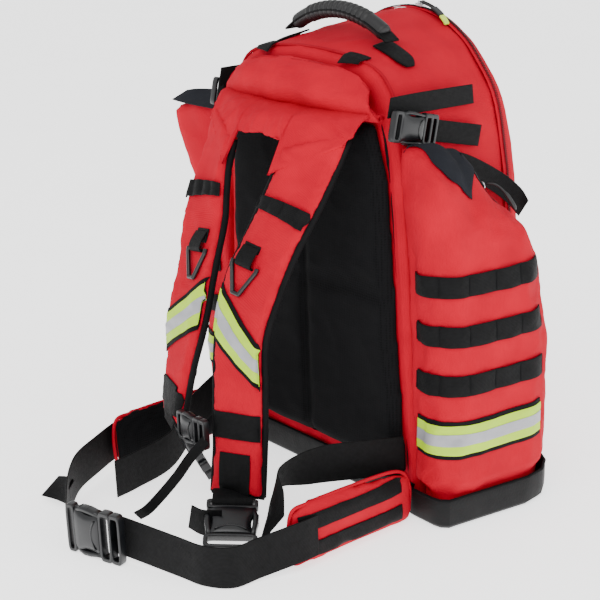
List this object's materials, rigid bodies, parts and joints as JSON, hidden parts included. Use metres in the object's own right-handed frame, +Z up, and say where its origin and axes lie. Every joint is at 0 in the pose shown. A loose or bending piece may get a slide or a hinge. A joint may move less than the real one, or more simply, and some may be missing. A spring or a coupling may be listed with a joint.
{
  "type": "trauma backpack",
  "caption": "Clamshell rescue backpack with padded shoulder straps, side pockets, webbing rows, hip belt, side-release buckles and reflective tape.",
  "frame": {"origin": "centre of the base of the main compartment, on the floor", "axes": "+Z up, -Y towards the wearer's side with the shoulder straps, +Y towards the clamshell lid, +X to the right of someone looking at the straps"},
  "size_m": [0.509, 0.5893, 0.5884],
  "materials": {
    "red_fabric": "woven polyester",
    "mesh_fabric": "padded spacer mesh",
    "boot_fabric": "coated fabric",
    "webbing": "woven nylon webbing",
    "collar_fabric": "woven lining",
    "reflective": "fluorescent tape with a retroreflective stripe",
    "zipper_tape": "coil zipper",
    "sheet_plastic": "stiffener sheet",
    "grip_rubber": "ribbed",
    "buckle_plastic": "moulded",
    "slider_metal": "nickel-plated",
    "pull_tab": "moulded"
  },
  "bodies": {
    "pack": {"main_shell": "red_fabric", "side_pocket_right": "red_fabric", "side_pocket_left": "red_fabric", "yoke": "red_fabric", "crown_flap": "red_fabric", "shoulder_strap_right": "red_fabric", "shoulder_strap_left": "red_fabric", "hip_wing_right": "red_fabric", "hip_wing_left": "red_fabric", "back_panel": "mesh_fabric", "base_boot": "boot_fabric", "pocket_webbing_right": "webbing", "pocket_webbing_left": "webbing", "strap_webbing_right": "webbing", "strap_webbing_left": "webbing", "wing_webbing": "webbing", "crown_webbing": "webbing", "hip_web_right": "webbing", "hip_web_left": "webbing", "lower_web_right": "webbing", "lower_web_left": "webbing", "compression_web_right": "webbing", "compression_web_left": "webbing", "pocket_collar_right": "collar_fabric", "pocket_collar_left": "collar_fabric", "pocket_reflective_right": "reflective", "pocket_reflective_left": "reflective", "strap_reflective_right": "reflective", "strap_reflective_left": "reflective", "main_zipper": "zipper_tape", "pocket_zippers": "zipper_tape", "frame_sheet": "sheet_plastic", "hip_buckle_socket": "buckle_plastic", "sternum_buckle_socket": "buckle_plastic", "shoulder_buckle_socket_right": "buckle_plastic", "shoulder_buckle_socket_left": "buckle_plastic", "compression_buckle_socket_right": "buckle_plastic", "compression_buckle_socket_left": "buckle_plastic"},
    "lid": {"lid_panel": "red_fabric", "front_pocket": "red_fabric", "front_webbing": "webbing", "front_reflective": "reflective"},
    "carry_handle": {"handle_grip": "grip_rubber", "handle_core": "webbing"},
    "hip_plug": {"hip_buckle_plug": "buckle_plastic"},
    "sternum_plug": {"sternum_buckle_plug": "buckle_plastic"},
    "ring_right": {"triangle_ring_right": "buckle_plastic"},
    "shoulder_plug_right": {"shoulder_buckle_plug_right": "buckle_plastic"},
    "compression_plug_right": {"compression_buckle_plug_right": "buckle_plastic"},
    "main_slider_right": {"main_slider_right": "slider_metal"},
    "main_pull_right": {"main_pull_right": "pull_tab"},
    "pocket_slider_right": {"pocket_slider_right": "slider_metal"},
    "pocket_pull_right": {"pocket_pull_right": "pull_tab"},
    "ring_left": {"triangle_ring_left": "buckle_plastic"},
    "shoulder_plug_left": {"shoulder_buckle_plug_left": "buckle_plastic"},
    "compression_plug_left": {"compression_buckle_plug_left": "buckle_plastic"},
    "main_slider_left": {"main_slider_left": "slider_metal"},
    "main_pull_left": {"main_pull_left": "pull_tab"},
    "pocket_slider_left": {"pocket_slider_left": "slider_metal"},
    "pocket_pull_left": {"pocket_pull_left": "pull_tab"}
  },
  "joints": [
    {"name": "lid_fold", "type": "hinge", "parent": "pack", "child": "lid", "pos_m": [0, 0.0845, 0.044], "axis": [-1, 0, 0], "range_deg": [0, 75]},
    {"name": "handle_lean", "type": "hinge", "parent": "pack", "child": "carry_handle", "pos_m": [0, -0.043, 0.54494], "axis": [1, 0, 0], "range_deg": [-25, 45]},
    {"name": "hip_release", "type": "slide", "parent": "pack", "child": "hip_plug", "axis": [0.9558, 0.2939, 0], "range_m": [0, 0.028]},
    {"name": "sternum_release", "type": "slide", "parent": "pack", "child": "sternum_plug", "axis": [1, 0, 0], "range_m": [0, 0.02]},
    {"name": "shoulder_release_right", "type": "slide", "parent": "pack", "child": "shoulder_plug_right", "axis": [0.6542, -0.5962, -0.4654], "range_m": [0, 0.022]},
    {"name": "compression_release_right", "type": "slide", "parent": "pack", "child": "compression_plug_right", "axis": [0, 0.9718, -0.2359], "range_m": [0, 0.02]},
    {"name": "ring_swing_right", "type": "hinge", "parent": "pack", "child": "ring_right", "pos_m": [0.046, -0.23597, 0.31729], "axis": [-0.9865, -0.0929, 0.1349], "range_deg": [0, 115]},
    {"name": "main_slider_travel_right", "type": "hinge", "parent": "pack", "child": "main_slider_right", "pos_m": [0, 0.0775, 0.432], "axis": [0, 1, 0], "range_deg": [0, 28]},
    {"name": "main_pull_swing_right", "type": "hinge", "parent": "main_slider_right", "child": "main_pull_right", "pos_m": [0.01504, 0.0775, 0.57511], "axis": [0, -1, 0], "range_deg": [0, 140]},
    {"name": "pocket_slider_travel_right", "type": "slide", "parent": "pack", "child": "pocket_slider_right", "axis": [0, 0.8643, -0.5029], "range_m": [0, 0.034]},
    {"name": "pocket_pull_swing_right", "type": "hinge", "parent": "pocket_slider_right", "child": "pocket_pull_right", "pos_m": [0.20251, -0.01471, 0.38998], "axis": [0.9594, -0.1418, -0.2437], "range_deg": [0, 140]},
    {"name": "shoulder_release_left", "type": "slide", "parent": "pack", "child": "shoulder_plug_left", "axis": [0.0598, 0.4384, -0.8968], "range_m": [0, 0.022]},
    {"name": "compression_release_left", "type": "slide", "parent": "pack", "child": "compression_plug_left", "axis": [0, 0.9718, -0.2359], "range_m": [0, 0.02]},
    {"name": "ring_swing_left", "type": "hinge", "parent": "pack", "child": "ring_left", "pos_m": [-0.046, -0.23597, 0.31729], "axis": [-0.9865, 0.0929, -0.1349], "range_deg": [0, 115]},
    {"name": "main_slider_travel_left", "type": "hinge", "parent": "pack", "child": "main_slider_left", "pos_m": [0, 0.0775, 0.432], "axis": [0, 1, 0], "range_deg": [0, 24]},
    {"name": "main_pull_swing_left", "type": "hinge", "parent": "main_slider_left", "child": "main_pull_left", "pos_m": [-0.07837, 0.0775, 0.55268], "axis": [0, 1, 0], "range_deg": [0, 140]},
    {"name": "pocket_slider_travel_left", "type": "slide", "parent": "pack", "child": "pocket_slider_left", "axis": [0, 0.8643, -0.5029], "range_m": [0, 0.034]},
    {"name": "pocket_pull_swing_left", "type": "hinge", "parent": "pocket_slider_left", "child": "pocket_pull_left", "pos_m": [-0.20251, -0.01471, 0.38998], "axis": [0.9594, 0.1418, 0.2437], "range_deg": [0, 140]}
  ]
}
